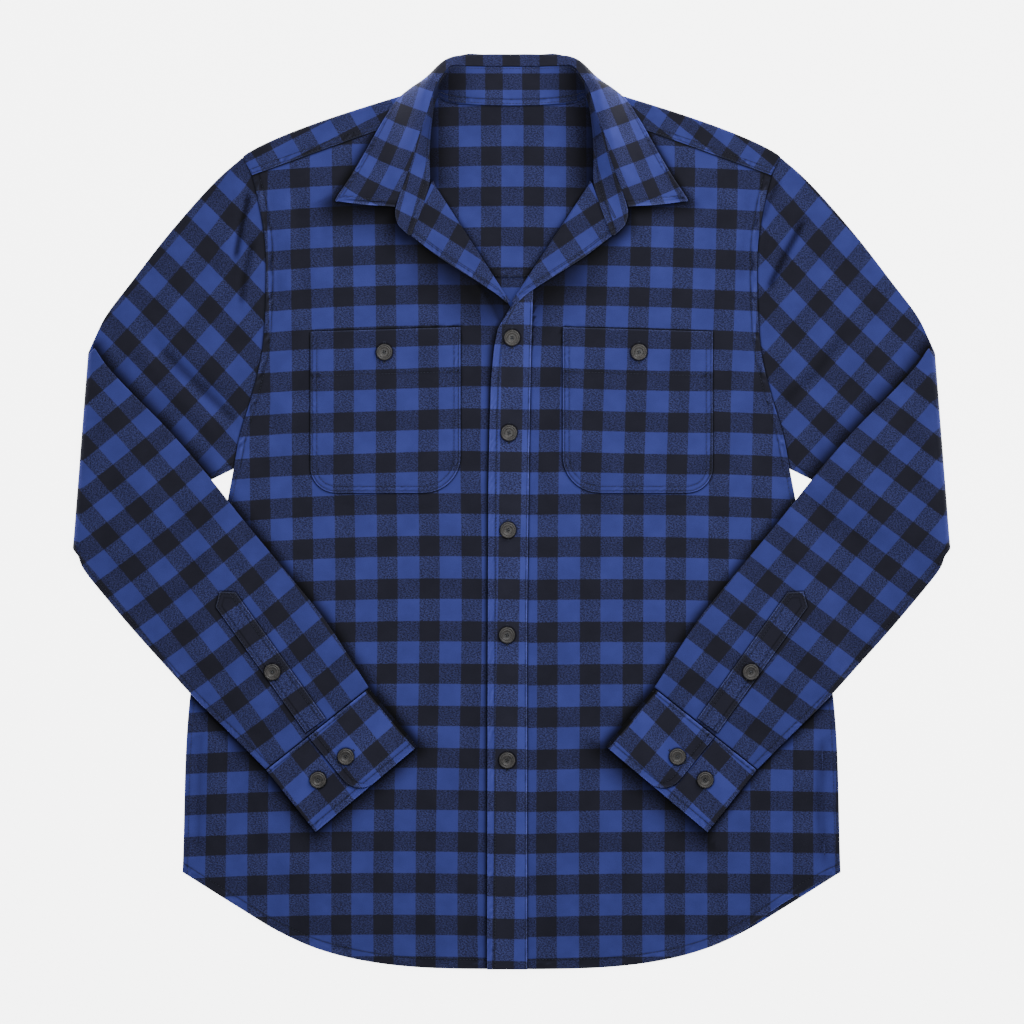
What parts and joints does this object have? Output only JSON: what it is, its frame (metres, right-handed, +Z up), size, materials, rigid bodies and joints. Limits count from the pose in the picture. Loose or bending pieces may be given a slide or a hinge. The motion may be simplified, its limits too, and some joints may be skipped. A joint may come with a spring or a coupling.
{
  "type": "shirt",
  "caption": "Long-sleeved flannel work shirt, buttoned and laid flat on its back, with the collar open and both sleeves folded over at the elbow onto the front.",
  "frame": {"origin": "middle of the shirt's outline, on the surface that it lies on", "axes": "+Z up from the surface to the front of the shirt, +Y from the hem to the collar, +X to the wearer's left"},
  "size_m": [0.7846, 0.8242, 0.0293],
  "materials": {
    "flannel_body": "brushed cotton check in blue and charcoal",
    "flannel_yoke": "brushed cotton check in blue and charcoal",
    "flannel_sleeve": "brushed cotton check in blue and charcoal",
    "flannel_trim": "brushed cotton check in blue and charcoal",
    "button_plastic": "dark polyester"
  },
  "bodies": {
    "root": {"back": "flannel_body", "yoke": "flannel_yoke", "inner_yoke": "flannel_yoke", "front_right": "flannel_body", "front_left": "flannel_body", "placket": "flannel_trim", "pocket_right": "flannel_trim", "pocket_left": "flannel_trim", "sleeve_right": "flannel_sleeve", "sleeve_left": "flannel_sleeve", "sleeve_strip_right": "flannel_trim", "sleeve_strip_left": "flannel_trim", "cuff_right": "flannel_trim", "cuff_left": "flannel_trim", "collar_stand": "flannel_trim", "collar_leaf": "flannel_trim", "button_placket_1": "button_plastic", "button_placket_2": "button_plastic", "button_placket_3": "button_plastic", "button_placket_4": "button_plastic", "button_placket_5": "button_plastic", "button_pocket_right": "button_plastic", "button_pocket_left": "button_plastic", "button_strip_right": "button_plastic", "button_strip_left": "button_plastic", "button_cuff_right": "button_plastic", "button_cuff_left": "button_plastic", "button_cuff_spare_right": "button_plastic", "button_cuff_spare_left": "button_plastic"}
  },
  "joints": []
}
